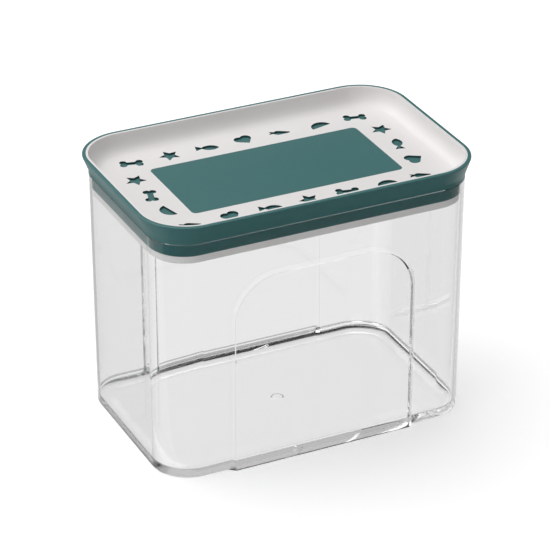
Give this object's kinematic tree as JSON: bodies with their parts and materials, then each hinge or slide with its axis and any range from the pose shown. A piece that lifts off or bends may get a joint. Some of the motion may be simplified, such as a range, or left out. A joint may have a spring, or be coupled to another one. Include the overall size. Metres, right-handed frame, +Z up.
{
  "type": "pet treat container",
  "caption": "Clear rectangular storage box with rounded corners and arched front and back panels, closed by a flared press-on lid with a sunk two-colour top and a soft seal",
  "frame": {"origin": "centre of the underside, on the surface that the container stands on", "axes": "+X along the length to the right, +Y along the depth to the back, +Z up; the front is at -Y"},
  "size_m": [0.2, 0.1294, 0.1587],
  "materials": {
    "clear_plastic": "polished clear moulding",
    "teal_plastic": "satin moulded teal",
    "white_plastic": "satin moulded off-white",
    "soft_seal": "smooth soft teal"
  },
  "bodies": {
    "box": {"container": "clear_plastic"},
    "lid": {"lid_shell": "teal_plastic", "lid_inlay": "white_plastic", "seal_ring": "soft_seal", "lid_plug": "white_plastic"}
  },
  "joints": [
    {"name": "lid_lift", "type": "slide", "parent": "box", "child": "lid", "axis": [0, 0, 1], "range_m": [0, 0.08]}
  ]
}
